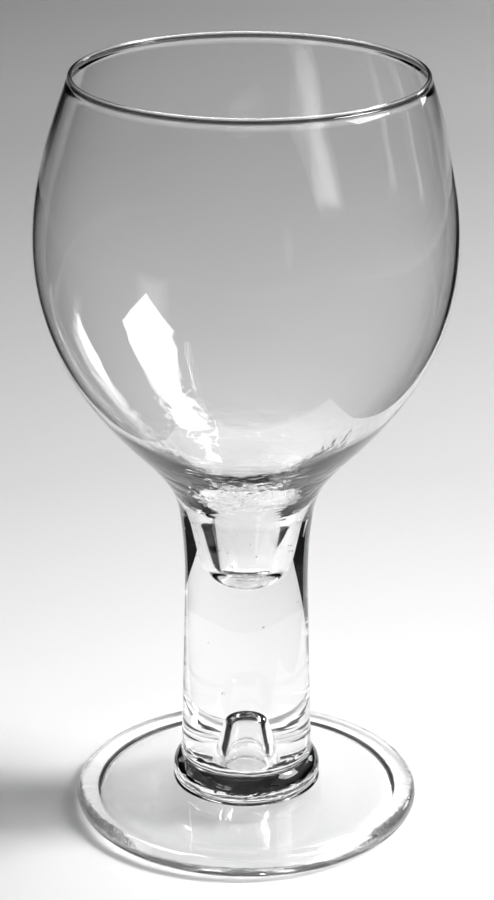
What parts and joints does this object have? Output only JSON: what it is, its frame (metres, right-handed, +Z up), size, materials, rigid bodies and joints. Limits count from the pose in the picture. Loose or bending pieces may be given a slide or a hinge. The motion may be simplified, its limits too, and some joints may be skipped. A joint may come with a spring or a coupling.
{
  "type": "water goblet",
  "caption": "Clear glass water goblet: balloon bowl that runs down into a thick waisted stem, bubble shut in at the stem's foot, and a round disc foot.",
  "frame": {"origin": "centre of the foot, on the surface that the goblet stands on", "axes": "+Z up along the goblet's axis, from foot to rim; the form is round about Z, so X and Y are free"},
  "size_m": [0.094, 0.094, 0.1754],
  "materials": {
    "clear_glass": "clear, fire-polished"
  },
  "bodies": {
    "root": {"goblet": "clear_glass"}
  },
  "joints": []
}
